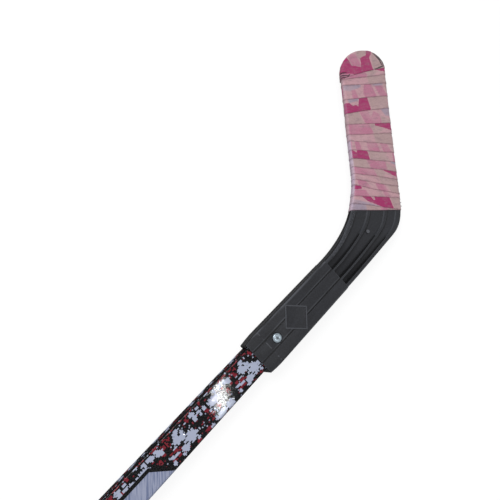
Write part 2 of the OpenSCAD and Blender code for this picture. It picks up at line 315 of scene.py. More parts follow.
RED_PATCHES = [
    (79, 7.4, 3.2, 1.8), (83.6, 7, 1.9, 2), (0.3, 9.2, 1.8, 1.8), (83, 11.5, 1.7, 1),
    (76, 3, 2.1, 2), (69.5, -0.3, 1.9, 2.6), (80.6, -2, 1.8, 1.5), (85.5, -3.2, 3, 1.6),
    (2.6, -4.8, 2.4, 2), (80.5, -8.3, 3.3, 1.3), (85.5, -8.7, 2.8, 0.8), (23.2, 9.3, 1.9, 2.9),
    (25, 3, 1.2, 1), (32, 5.4, 1.6, 1.5), (31.5, -4.5, 2.1, 1), (38.5, -4.4, 1.6, 1),
    (32, -12.5, 3.7, 2), (20.3, -13, 2.4, 1.5), (41, 12, 1.6, 1.9), (42.5, 1, 2.1, 2.1),
    (44, -4.8, 3.2, 1.9), (41.5, -9, 2.3, 1), (52, -8.7, 1.5, 1.1), (53.5, -4.5, 2.5, 2.1),
    (69.5, 11.8, 2.5, 1.1), (57, 12.8, 3.5, 0.9), (74.5, 12, 3.4, 1), (5.5, 12.8, 3.6, 0.8),
    (18, 12.6, 2.6, 0.8), (29, 12.8, 4, 0.8), (84.5, 4, 2.1, 0.9), (7.7, 5.2, 1, 0.8),
    (66, 5.4, 2, 1), (50.5, 3.6, 1.9, 0.7), (47, 9, 1, 0.9), (77, -19, 3, 2.6),
    (31, 18.5, 3, 2), (43, 29, 3, 2.5), (14, 25, 3, 2), (62, -30, 4, 2.5), (33, -27, 3, 3),
    (84, 22, 3, 2.5), (5, -25, 3, 3)]
DARK_PATCHES = [
    (10, 5.3, 1.7, 0.8), (13.4, -1, 1.2, 0.8), (7.2, -4.2, 1.3, 0.7), (10.3, -5.6, 1.7, 0.7),
    (13.6, -8, 0.9, 0.9), (16.8, 2.3, 1.9, 0.8), (22.6, -7.2, 1.7, 0.8), (2, 0.3, 1.4, 0.8),
    (47, -10.5, 0.9, 0.9), (56.7, 7.3, 0.9, 0.8)]


def patch_field(cell, patches):
    """Distance from the nearest patch, where 1 is its edge"""
    nearest = None
    for along, across, half_long, half_wide in patches:
        scale = (1 / half_long, 1 / half_wide, 0)
        shift = (-(along + PRINT_START) / half_long, -across / half_wide, 0)
        reach = (REPEAT / 2 / half_long, 1000, 1)
        spot = calc_vector("MULTIPLY_ADD", cell, scale, shift)
        spot = calc_vector("WRAP", spot, reach, tuple(-size for size in reach))
        far = calc_vector("LENGTH", spot)
        nearest = far if nearest is None else calc("MINIMUM", nearest, far)
    return nearest


def printed_film_finish():
    """Glossy film, printed in small cells with pale and red patches on black, and a bare panel"""
    material, tree, shader = new_finish("printed_film", 0.4, 0.0)
    x, y, z = split(position(tree))
    depth = FILM_HIGH.z - z

    # the film unrolled from the middle of its front; its back repeats the front, further along
    rolled = calc("SIGN", y) * (abs(y) + depth)
    behind = z < FILM_LOW.z + 0.8 * MM
    across = behind * ((y + rolled) * -1) + rolled
    flat = calc_vector("MULTIPLY", join(behind * BACK_SHIFT + x, across), (1000, 1000, 0))

    cell = calc_vector("SNAP", flat, CELL)
    specks = add_node("ShaderNodeTexWhiteNoise", cell)
    specks.noise_dimensions = "2D"
    speck = Value(specks.outputs["Value"])
    ragged = speck * 0.3 + (grain(cell, 0.55, 2) * 0.9 - 0.62)
    pale = patch_field(cell, PALE_PATCHES) + ragged
    red = patch_field(cell, RED_PATCHES) + ragged
    dark = patch_field(cell, DARK_PATCHES)
    pale = (pale < 1) * (dark > 1)

    # the bare panel and its border, with ends that slope at 45 degrees
    flat_x, flat_y, _ = split(flat)
    below = PANEL_Y - flat_y
    beside = abs(flat_x - PANEL_X)
    end = beside - below - PANEL_HALF
    off_panel = calc("MAXIMUM", end * 0.7071, below * -1)
    on_front = depth < 4 * MM
    panel = (off_panel < 0) * on_front
    border = (off_panel < BORDER) * on_front

    mottle = grain(flat, 0.08, 3)
    colour = blend(mottle, srgb(3, 3, 5), srgb(11, 11, 14))
    sparse = calc("FRACT", speck * 7.3)
    red = (red < 1) * (sparse > 0.2)
    colour = tint(colour, (118, 30, 42), red)
    colour = tint(colour, (105, 32, 44), speck > 0.975)
    colour = tint(colour, (164, 171, 192), pale)
    colour = tint(colour, (140, 146, 165), speck < 0.02)
    colour = tint(colour, (8, 8, 11), border)
    along_streaks = calc_vector("MULTIPLY", turned(flat, -50), (0.05, 0.8, 1))
    streaks = grain(along_streaks, 0.9, 4)
    brushed = blend(ramp(streaks, 0.35, 0.62), srgb(106, 116, 146), srgb(152, 158, 180))
    colour = blend(panel, colour, brushed)
    feed(shader.inputs["Base Color"], colour)

    shader.inputs["Coat Roughness"].default_value = 0.035
    on_face = ramp(abs(split(position(tree, "Normal"))[2]), 0.5, 0.9)
    sparkle = ramp(grain(flat, 1.3, 3, 0.6), 0.5, 0.56)
    feed(shader.inputs["Coat Weight"], on_face * (sparkle * 0.6 + 0.04) + 0.04)
    ripple = grain(stretched(flat, (0.16, 0.5, 1)), 1.0, 3)
    crumple = grain(stretched(flat, (0.5, 0.9, 1)), 0.6, 3, 0.75)
    cells = pale * 0.25 + crumple * 1.6
    emboss(shader, ripple + cells, 0.1 * MM, 0.2, socket="Coat Normal")
    emboss(shader, ripple, 0.1 * MM, 0.2)
    return material


def wood_finish(name, light, dark, ring_scale):
    """Wood with grain along the shaft and pores on its end"""
    material, tree, shader = new_finish(name, 0.6, 0.3)
    place = position(tree)
    rings = add_node("ShaderNodeTexWave", stretched(place, (0.6, 14, 10), (0.12, 0, 0)))
    rings.wave_type = "BANDS"
    rings.bands_direction = "Y"
    rings.inputs["Scale"].default_value = ring_scale
    rings.inputs["Distortion"].default_value = 5
    rings.inputs["Detail"].default_value = 3
    fibre = grain(stretched(place, (14, 900, 900)), 1.0, 4, 0.6)
    share = Value(rings.outputs["Fac"]) * 0.6 + fibre * 0.4
    feed(shader.inputs["Base Color"], blend(share, dark, light))
    emboss(shader, fibre, 0.15 * MM, 0.6)
    return material


def moulded_plastic_finish():
    """Black plastic with a fine moulded grain; painted shade darkens its hollows and sides, and
    its edges are lighter from wear and painted highlights
    """
    material, tree, shader = new_finish("moulded_black_plastic", 0.5, 0.2)
    place = position(tree)
    x, y, z = split(place)
    cloudy = grain(place, 18, 4)
    streaky = grain(stretched(place, (40, 260, 260)), 1.0, 3)
    colour = blend(ramp(cloudy, 0.3, 0.7), srgb(31, 32, 35), srgb(39, 40, 44))
    colour = tint(colour, (58, 60, 66), ramp(streaky, 0.5, 0.8) * 0.3)
    leathery = ramp(grain(place, 750, 2, 0.6), 0.42, 0.62)
    colour = tint(colour, (52, 54, 59), leathery * 0.3)
    # painted shade: darker in the hollows and the narrow grooves, where less light reaches
    colour = blend(ramp(openness(tree, 7 * MM), 0.35, 0.9), srgb(20, 20, 23), colour)
    colour = blend(ramp(openness(tree, 2.5 * MM), 0.55, 0.95), srgb(10, 10, 12), colour)
    # edges lighter, partly from wear and partly a painted highlight
    edges = fall(openness(tree, 0.9 * MM, True), 0.6, 0.97)
    colour = tint(colour, (80, 82, 88), edges * ramp(streaky, 0.1, 0.6) * 0.6)

    # the ribs' sides: painted shade on the side towards the heel, and a painted highlight on the
    # other
    face = Value(tree.nodes.new("ShaderNodeNewGeometry").outputs["True Normal"])
    slant = calc_vector("DOT_PRODUCT", face, (0.38, -0.92, 0))
    off_edge = y - SOCKET_LOW.y
    in_neck = (x > STEP_X - 0.1 * MM) * (off_edge > 4 * MM)
    colour = tint(colour, (4, 4, 6), ramp(slant, 0.1, 0.28) * in_neck * 0.95)
    rib_highlight = ramp(slant * -1 * in_neck, 0.12, 0.4)
    colour = tint(colour, (66, 68, 74), rib_highlight * 0.4)

    # the pebbled flange along the neck's upper edge: a slightly lighter tone, and painted
    # highlights on its specks
    from_turn = calc_vector("DISTANCE", join(x, y), (NECK_TURN[0], NECK_TURN[1], 0))
    pebbled = near(from_turn, NECK_R + 3.6 * MM, 2.6 * MM, 0.8 * MM)
    pebbled = pebbled * (x > STEP_X + 12 * MM)
    pebble_glint = ramp(grain(place, 1100, 1), 0.55, 0.7)
    colour = tint(colour, (58, 60, 65), pebbled * 0.12)
    colour = tint(colour, (96, 98, 104), pebbled * pebble_glint * 0.6)

    # painted shade in the socket's two long grooves, and a painted highlight along a line beside
    # each
    on_face = (z > AXIS_Z + 9 * MM) * (x < STEP_X)
    on_face = on_face * (abs(x - BADGE_X) + abs(y) > BADGE_REACH)
    groove_shade = near(abs(y), GROOVE_Y, 0.75 * MM, 0.5 * MM)
    colour = tint(colour, (10, 10, 12), groove_shade * on_face * 0.6)
    beside = y - calc("SIGN", y) * GROOVE_Y
    beside = near(beside, 1.5 * MM, 0.3 * MM, 0.4 * MM)
    patchy = ramp(streaky, 0.3, 0.6)
    colour = tint(colour, (84, 86, 92), beside * on_face * patchy * 0.35)

    # the badge's rim stands up from the face; it is drawn lighter, a painted highlight
    rim_highlight = z > SOCKET_HIGH.z - 0.2 * MM
    colour = tint(colour, (82, 84, 90), rim_highlight * 0.45)

    # painted shade on the sides, and a painted highlight on the rounding around them
    upright = abs(split(position(tree, "Normal"))[2])
    on_side = upright < 0.4
    colour = tint(colour, (5, 5, 7), on_side * 0.95)
    outer = calc("MAXIMUM", x < STEP_X, off_edge < 4 * MM)
    rounded = near(upright, 0.75, 0.1, 0.12)
    colour = tint(colour, (92, 94, 100), rounded * outer * patchy * 0.6)

    # painted highlights along the parting line around the sides, on the crest where the lip begins
    # to taper, and on the gate; the same lines also stand up in the bump
    parting = near(z, PARTING_Z, 0.3 * MM, 0.3 * MM) * on_side
    crest = near(x, CREST_X, 0.3 * MM, 0.5 * MM) * ramp(streaky, 0.45, 0.6)
    from_gate = calc_vector("DISTANCE", join(x, y), GATE)
    gate = fall(from_gate, 1.6 * MM, 2.8 * MM)
    line = calc("MAXIMUM", calc("MAXIMUM", parting, crest * 0.55), gate * 0.9)
    colour = tint(colour, (112, 114, 120), line * 0.5)
    feed(shader.inputs["Base Color"], colour)
    feed(shader.inputs["Roughness"], calc("MAXIMUM", cloudy * 0.2 + 0.4, on_side * 0.9))
    under = emboss(None, grain(place, 60, 3) + line, 0.25 * MM, 0.35)
    emboss(shader, grain(place, 2400, 2), 0.05 * MM, 0.5, under)
    return material


def zinc_finish():
    """Bright zinc plate with fine turning marks, darker in its recess: painted shade"""
    material, tree, shader = new_finish("zinc_plate", 0.28)
    shader.inputs["Metallic"].default_value = 1
    place = position(tree)
    patchy = grain(place, 500, 3)
    colour = blend(patchy, srgb(84, 94, 102), srgb(174, 187, 196))
    # painted shade: the recess is darker where less light reaches it
    recess_shade = ramp(openness(tree, 1.2 * MM), 0.4, 0.85)
    colour = blend(recess_shade, srgb(88, 94, 96), colour)
    feed(shader.inputs["Base Color"], colour)
    feed(shader.inputs["Roughness"], patchy * 0.25 + 0.22)
    emboss(shader, grain(place, 3000, 2), 0.03 * MM, 0.5)
    return material


# From one thread of the cloth to the next, in millimetres
WARP_GAP = 0.55
WEFT_GAP = 0.5


def cloth_finish(name, base, beige, rose, lavender, magenta):
    """Woven cotton tape with a print of soft-cornered patches; its free edges are frayed and
    darker, partly from dirt and partly a painted shadow
    """
    material, tree, shader = new_finish(name, 0.85, 0.15)
    shader.inputs["Sheen Weight"].default_value = 0.15
    shader.inputs["Sheen Roughness"].default_value = 0.5
    flat = calc_vector("MULTIPLY", position(tree, "UV"), (1000, 1000, 0))
    u, v, _ = split(flat)
    wander = (grain(flat, 0.35, 3) - 0.5) * 2.2

    colour = base
    for ink, over, soft in zip(INKS, (beige, lavender, rose, magenta), (1.6, 1.3, 0.8, 0.35)):
        printed = ramp(stored(tree, ink) + wander, -soft, soft)
        colour = blend(printed, colour, over)
    spared = 1 - printed * 0.75

    # a painted highlight: the pale strip where the tape lies over the blade's upper edge
    colour = tint(colour, (196, 180, 200), stored(tree, "painted_edge_highlight") * 0.85)

    # washed-out and dirty places, and loose threads
    washed = ramp(grain(flat, 0.045, 3, 0.6), 0.42, 0.68)
    colour = tint(colour, (196, 162, 166), washed * spared * 0.4)
    worn = grain(stretched(flat, (0.6, 1.4, 1)), 0.16, 4, 0.65)
    colour = tint(colour, (140, 116, 124), ramp(worn, 0.46, 0.7) * 0.5)
    fleck = grain(stretched(flat, (0.5, 3.5, 1)), 1.0, 2)
    colour = tint(colour, (208, 186, 192), ramp(fleck, 0.5, 0.75) * spared * 0.3)
    mottled = fall(grain(flat, 0.7, 3, 0.7), 0.3, 0.5)
    colour = tint(colour, (118, 88, 104), mottled * 0.35)

    # the free edge, darker partly from fraying and dirt and partly as a painted shadow; the
    # painted shade of the next turn's edge; and painted shade in the creases
    broken = ramp(grain(stretched(flat, (1, 0.2, 1)), 0.25, 3), 0.3, 0.6)
    broken = broken * 0.35 + 0.12
    colour = tint(colour, (66, 44, 58), fall(v, 0.2, 1.5) * broken)
    colour = tint(colour, (80, 60, 75), fall(stored(tree, "to_next"), 0, 1.6) * 0.25)
    crease_shade = grain(flat, 0.6, 3) * 0.8 - 0.35
    crease_shade = ramp(stored(tree, "crease") + crease_shade, 0.3, 0.7)
    colour = tint(colour, (38, 36, 42), crease_shade * 0.85)
    feed(shader.inputs["Base Color"], colour)

    # the weave: threads along and across the tape
    weave = calc("SINE", u * (2 * math.pi / WARP_GAP)) * calc("SINE", v * (2 * math.pi / WEFT_GAP))
    under = emboss(None, grain(stretched(flat, (0.1, 0.5, 1)), 1.0, 3), 0.9 * MM, 0.5)
    emboss(shader, weave, 0.06 * MM, 0.6, under)
    return material


def thread_finish():
    """Grubby cotton thread"""
    material, tree, shader = new_finish("cotton_thread", 0.9, 0.1)
    fuzz = grain(stretched(position(tree), (900, 900, 3000)), 1.0, 3)
    feed(shader.inputs["Base Color"], blend(fuzz, srgb(34, 28, 34), srgb(110, 96, 104)))
    emboss(shader, fuzz, 0.1 * MM, 0.7)
    return material


# ---- Modelling helpers ----

def active(obj):
    """Leaves only this object selected, so that operators act on it alone"""
    if bpy.context.mode != "OBJECT":
        bpy.ops.object.mode_set(mode="OBJECT")
    bpy.ops.object.select_all(action="DESELECT")
    obj.select_set(True)
    bpy.context.view_layer.objects.active = obj


def new_object(name, data):
    obj = bpy.data.objects.new(name, data)
    bpy.context.scene.collection.objects.link(obj)
    return obj


def new_mesh(name, primitive, **settings):
    """One of Blender's primitives, alone in the selection"""
    bpy.ops.object.select_all(action="DESELECT")
    primitive(**settings)
    obj = bpy.context.object
    obj.name = name
    return obj


def new_sheet(name, columns, rows):
    """A flat grid, and how far along and across it each of its points lies, 0 to 1"""
    obj = new_mesh(name, bpy.ops.mesh.primitive_grid_add, x_subdivisions=columns,
                   y_subdivisions=rows, size=1)
    flat = np.array([vertex.co for vertex in obj.data.vertices]) + 0.5
    return obj, flat[:, 0], flat[:, 1]


def settle(obj):
    """Moves the object's place into its mesh"""
    active(obj)
    bpy.ops.object.transform_apply(location=True, rotation=True, scale=True)


def give_finish(obj, material):
    obj.data.materials.clear()
    obj.data.materials.append(material)


def apply_modifier(obj, kind, **settings):
    active(obj)
    modifier = obj.modifiers.new(kind.lower(), kind)
    for name, value in settings.items():
        setattr(modifier, name, value)
    bpy.ops.object.modifier_apply(modifier=modifier.name)


def round_edges(obj, width, degrees):
    """Rounds the edges that turn by more than that, and smooths the rest"""
    angle = math.radians(degrees)
    apply_modifier(obj, "BEVEL", width=width, segments=2, limit_method="ANGLE",
                   angle_limit=angle, use_clamp_overlap=True)
    bpy.ops.object.shade_smooth_by_angle(angle=angle)


def put_in_order(obj):
    """Sorts the mesh's points and faces, since a cut leaves their order to chance"""
    points = [tuple(vertex.co) for vertex in obj.data.vertices]
    order = sorted(range(len(points)), key=points.__getitem__)
    place = {old: new for new, old in enumerate(order)}
    faces = []
    for face in obj.data.polygons:
        corners = [place[index] for index in face.vertices]
        first = corners.index(min(corners))
        faces.append(corners[first:] + corners[:first])
    mesh = bpy.data.meshes.new(obj.name)
    mesh.from_pydata([points[index] for index in order], [], sorted(faces))
    obj.data = mesh


def off_segment(u, v, start, end):
    """How far points are from a segment, and how far along it their nearest place is, 0 to 1"""
    run = np.subtract(end, start)
    share = np.clip(((u - start[0]) * run[0] + (v - start[1]) * run[1]) / (run @ run), 0, 1)
    return np.hypot(u - start[0] - share * run[0], v - start[1] - share * run[1]), share


def depth_inside(u, v, outline):
    """How far points lie inside a closed outline; outside it, how far they are from it, below 0"""
    points = np.array(outline, float)
    nearest = np.full(np.shape(u), 1e9)
    inside = np.zeros(np.shape(u), bool)
    for start, end in zip(points, np.roll(points, -1, 0)):
        nearest = np.minimum(nearest, off_segment(u, v, start, end)[0])
        if start[1] != end[1]:
            crosses = (start[1] > v) != (end[1] > v)
            where = start[0] + (v - start[1]) * (end[0] - start[0]) / (end[1] - start[1])
            inside ^= crosses & (u < where)
    return np.where(inside, nearest, -nearest)


def set_attribute(obj, name, values):
    attribute = obj.data.attributes.new(name, "FLOAT", "POINT")
    attribute.data.foreach_set("value", np.asarray(values, np.float32))


def set_map(obj, along, across):
    """The cloth's own map, in metres: along the tape and across it"""
    uv = obj.data.uv_layers.active.data
    for loop in obj.data.loops:
        uv[loop.index].uv = (along[loop.vertex_index], across[loop.vertex_index])


# The tape's print, in millimetres. Each patch has the turn that it starts on, and its outline:
# along the tape from the blade's upper edge, and across the tape from its free edge.
INKS = ("beige", "lavender", "rose", "magenta")
NO_PRINT = -6.0
TAPE_REPEAT = 2.5
TAPE_PRINT = {
    "beige": [
        (0, [(27, 24), (38, 24), (40, 12), (52, 7), (42, 0), (35, 0)]),
        (0.5, [(57, 24), (70, 24), (70, 0), (64, 0)]),
        (1, [(-2, 24), (14, 24), (22, 0), (-2, 0)]),
        (1, [(47, 12), (60, 6), (68, 8), (68, 0), (49, 0)]),
        (1.5, [(32, 24), (70, 24), (70, 0), (36, 0)]),
        (2, [(32, 24), (68, 24), (60, 8), (68, 0), (36, 0)])],
    "lavender": [
        (0.5, [(-3, 24), (23, 24), (23, 17), (6, 12), (-3, 14)]),
        (0.5, [(40, 24), (57, 24), (57, 17), (42, 17)]),
        (1, [(48, 24), (68, 24), (68, 10), (56, 11)]),
        (2, [(0, 24), (18, 24), (17, 16), (3, 15)])],
    "rose": [
        (0, [(-2, 20), (27, 20), (35, 0), (-2, 0)]),
        (0.5, [(8, 13), (14, 14), (18, 0), (9, 0)]),
        (0.5, [(28, 22), (38, 22), (46, 0), (28, 0), (26, 6)]),
        (0.5, [(44, 17), (55, 17), (63, 0), (51, 0)]),
        (1, [(16, 20), (30, 20), (33, 9), (38, 19), (47, 14), (49, 0), (24, 0)])],
    "magenta": [
        (0, [(37, 20), (68, 20), (68, 3), (60, 5), (50, 8.5), (38, 12.5)]),
        (2, [(-6, 16), (3, 15), (8, 10), (13, 10.5), (16, 7.5), (18, 18), (18, 24),
             (30, 24), (35, 0), (-6, 0)])],
}
# The first turns have patches of their own
FIRST_TURNS = 4
FIRST_PRINT = {
    "beige": [
        (0, [(8, 24), (70, 24), (70, 0), (8, 0)]),
        (1, [(46, 24), (70, 24), (70, 0), (54, 0)]),
        (3, [(42, 14), (70, 14), (70, 0), (52, 0)])],
    "lavender": [
        (0, [(-4, 24), (4, 24), (14, 10), (18, 0), (-4, 0)]),
        (1, [(-4, 6), (20, 3), (36, 0), (-4, -2)])],
    "rose": [
        (0, [(33, 8), (40, 8), (46, 0), (36, 0)]),
        (2, [(-2, 9), (14, 9), (20, 0), (-2, 0)]),
        (2, [(38, 10), (44, 10), (50, 0), (42, 0)]),
        (3, [(0, 14), (8, 14), (24, 0), (4, 0)]),
        (3, [(26, 14), (38, 14), (48, 0), (32, 0)])],
    "magenta": [
        (1, [(-2, 24), (17, 24), (18.5, 14), (25.5, 7), (27.5, 8), (25, 14),
             (24, 24), (44, 24), (53, 0), (38, 0), (17, 5), (4, 14)]),
        (2, [(-4, 15), (7, 14), (9, 10), (-4, 9)])],
}


def print_depth(patches, u, v, repeat=None):
    """How deep points lie inside the patches; a patch comes again after a repeat, if given"""
    depth = np.full(u.shape, NO_PRINT)
    for start, outline in patches:
        local = u - start * TURN_LEN / MM
        if repeat:
            local = np.mod(local + 20, repeat) - 20
        depth = np.maximum(depth, depth_inside(local, v, outline))
    return depth


def print_tape(obj, turns, across, slips=0, first_turns=False):
    """Stores how deep each point of a wound tape lies in the patches of each ink"""
    u = turns * TURN_LEN / MM + slips
    v = across / MM
    for ink in INKS:
        depth = print_depth(TAPE_PRINT[ink], u, v, TAPE_REPEAT * TURN_LEN / MM)
        if first_turns:
            depth = np.where(turns < FIRST_TURNS, print_depth(FIRST_PRINT[ink], u, v), depth)
        set_attribute(obj, ink, depth)


# ---- Tape ----

def blade_outline(a):
    """Lower edge, upper edge, half thickness and middle height of the blade at distance a"""
    heel_run = np.maximum(0, HEEL_TANGENT - a)
    toe_run = np.clip(a - BLADE_LEN + TOE_LOW_R, 0, TOE_LOW_R)
    low = HEEL_R - np.sqrt(HEEL_R ** 2 - heel_run ** 2)
    low = low + TOE_LOW_R - np.sqrt(TOE_LOW_R ** 2 - toe_run ** 2)
    neck_run = np.maximum(0, SQUARE_A - a)
    high_run = np.clip(a - TOE_A, 0, TOE_HIGH_R)
    high = np.interp(a, [SQUARE_A, TOE_A], [BLADE_H, TOE_H])
    high = high + NECK_R - np.sqrt(NECK_R ** 2 - neck_run ** 2)
    high = high - TOE_HIGH_R + np.sqrt(TOE_HIGH_R ** 2 - high_run ** 2)
    half = np.interp(a / MM, THICK_AT, HALF_THICK) * MM
    rise = TOE_LIFT * np.clip((a - HEEL_TANGENT) / (BLADE_LEN - HEEL_TANGENT), 0, 1) ** 2
    return low, high, half, AXIS_Z + rise


def around(turns, low, high, half, radius, lift):
    """Points around a flat bar with round edges: across it and out of its middle plane"""
    part = np.mod(turns, 1)
    quarter = (HALF - FRONT) / 2 * 0.8
    stops = [0, FRONT, FRONT + quarter, HALF - quarter, HALF,
             BACK, BACK + quarter, 1 - quarter, 1]
    facing = np.radians(np.interp(part, stops, [90, 90, 180, 180, 270, 270, 360, 360, 450]))
    share = np.interp(part, stops, [1, 0, 0, 0, 0, 1, 1, 1, 1])
    side = np.interp(part, stops, [1, 1, 1, -1, -1, -1, -1, 1, 1])
    across = low + radius + share * (high - low - 2 * radius) + (radius + lift) * np.cos(facing)
    out = side * (half - radius) + (radius + lift) * np.sin(facing)
    return across, out


def on_blade(a, across, out, middle):
    flat = HEEL + a[..., None] * ALONG + across[..., None] * ACROSS
    return np.concatenate([flat, (middle + out)[..., None]], -1)


def wound_tape(name, first, last, lap_at, place, columns, rows, earlier=(1, 2, 3)):
    """A flat strip of cloth, wound from the first turn to the last over its earlier turns

    Returns its object, and each point's turn and its distance across the strip."""
    obj, turns, across = new_sheet(name, columns, rows)
    turns = first + turns * (last - first)
    across = across * TAPE_W
    lap = lap_at(turns)
    plies = np.zeros(len(turns))
    for before in earlier:
        beyond = lap_at(turns - before) + TAPE_W - lap - across
        covered = np.clip(beyond / (2 * MM) + 0.5, 0, 1)
        covered = covered * covered * (3 - 2 * covered)
        plies += np.where(turns - before >= first, covered, 0)
    wrinkle = np.array([noise.noise(Vector((turn * 9, edge / MM * 0.12, 3))) for turn, edge
                        in zip(turns, across)])
    lift = plies * PLY_T + 0.03 * MM + 0.12 * MM * np.maximum(0, wrinkle)
    obj.data.vertices.foreach_set("co", place(turns, lap + across, lift).ravel())
    ahead = lap_at(turns + 1) - lap - across
    set_attribute(obj, "to_next", np.where(ahead < 0, FAR, ahead / MM))
    set_map(obj, (turns - first) * TURN_LEN, across)
    return obj, turns, across


def finish_cloth(obj):
    """Turns the sheet's faces outwards, and gives it its thickness and its finish"""
    mesh = obj.data
    top = max(mesh.polygons, key=lambda face: face.center.z)
    if top.normal.z < 0:
        mesh.flip_normals()
    mesh.update()
    apply_modifier(obj, "SOLIDIFY", thickness=CLOTH_T, offset=1)
    bpy.ops.object.shade_smooth_by_angle(angle=math.radians(50))
    give_finish(obj, FINISHES["cloth"])


def blade_lap(turns):
    """Where the free edge of the blade's tape lies, after so many turns"""
    stops, places = [], []
    for turn, (upper, lower, _) in enumerate(LAPS):
        next_upper = LAPS[turn + 1][0] if turn + 1 < len(LAPS) else upper + 8
        stops += [turn, turn + FRONT, turn + HALF, turn + BACK]
        places += [upper, lower, lower, next_upper]
    wobble = 0.35 * np.sin(turns * 7.3) + 0.25 * np.sin(turns * 17.1 + 1)
    return (np.interp(turns, stops, places) + wobble) * MM


def blade_tape():
    """Tape wound around the blade from the heel to the toe, each turn half over the last"""
    turns_in_all = len(LAPS) - 1

    def place(turns, a, lift):
        low, high, half, middle = blade_outline(a)
        across, out = around(turns, low, high, half, EDGE_R, lift)
        return on_blade(a, across, out, middle)

    obj, turns, across = wound_tape("wound_blade_tape", -0.3, turns_in_all, blade_lap, place,
                                    turns_in_all * 100, 15)
    slips = np.array([LAPS[max(0, min(int(turn), len(LAPS) - 1))][2] for turn in turns], float)
    print_tape(obj, turns, across, slips, True)
    # a painted highlight on the strip of tape over the blade's upper edge
    off_strip = np.abs(np.mod(turns - HIGHLIGHT_STRIP_AT + 0.5, 1) - 0.5) * TURN_LEN / MM
    painted_edge_highlight = np.clip((HIGHLIGHT_STRIP_HALF - off_strip) / 1.2, 0, 1)
    set_attribute(obj, "painted_edge_highlight", painted_edge_highlight * np.clip(HIGHLIGHT_STRIP_TURNS - turns, 0.2, 1))
    finish_cloth(obj)
    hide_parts("blade_tape")
    return obj


# The toe's patch: where its free edge starts and ends along the blade, the outlines of its print,
# and its creases, in millimetres along and across the blade
PATCH_UPPER_A = 198
PATCH_LOWER_A = 229
BACK_FLIP = 62    # the print on the back is turned over, about half of this
TOE_PRINT = {
    "magenta": [
        [(205, 74), (219, 76), (236, 62), (229, 57), (221, 53), (222, 46), (222, 39),
         (228, 38), (235, 39), (239, 36), (243, 29), (250, 29), (256, 20), (247, 21),
         (241, 24), (230, 22), (219, 19), (211, 37), (206, 47), (208, 54)]],
    "rose": [
        [(233, 57), (241, 52), (242, 45), (235, 43), (231, 40), (223, 39), (221, 52)],
        [(206, 76), (208, 54), (205, 47), (211, 36), (200, 52), (190, 74)]],
    "beige": [
        [(240, 45), (258, 40), (252, 29), (243, 30), (238, 37)],
        [(246, 20), (260, 18), (250, -4), (222, -4), (219, 19), (231, 21)]],
    "lavender": [],
}
CREASES = [((223, 17), (232, 1)), ((227, 11), (231, 3)), ((231, 1), (240, 5)),
           ((231, 4), (243, 10)), ((236, 2), (246, 12)), ((240, 8), (249, 17)),
           ((238, 3), (242, 8)), ((199, 69), (201, 61)), ((202, 70), (204, 61)),
           ((205, 70), (208, 63)), ((199, 63), (206, 58)), ((201, 57), (207, 44))]


def crease_depth(a, across):
    """1 in the middle of a crease, and 0 away from it"""
    deepest = np.zeros(np.shape(a))
    for start, end in CREASES:
        far, share = off_segment(a, across, start, end)
        fade = 0.5 + 0.5 * np.sin(math.pi * np.clip(share, 0.1, 0.9))
        deepest = np.maximum(deepest, np.exp(-(far / 1.1) ** 2) * fade)
    return deepest


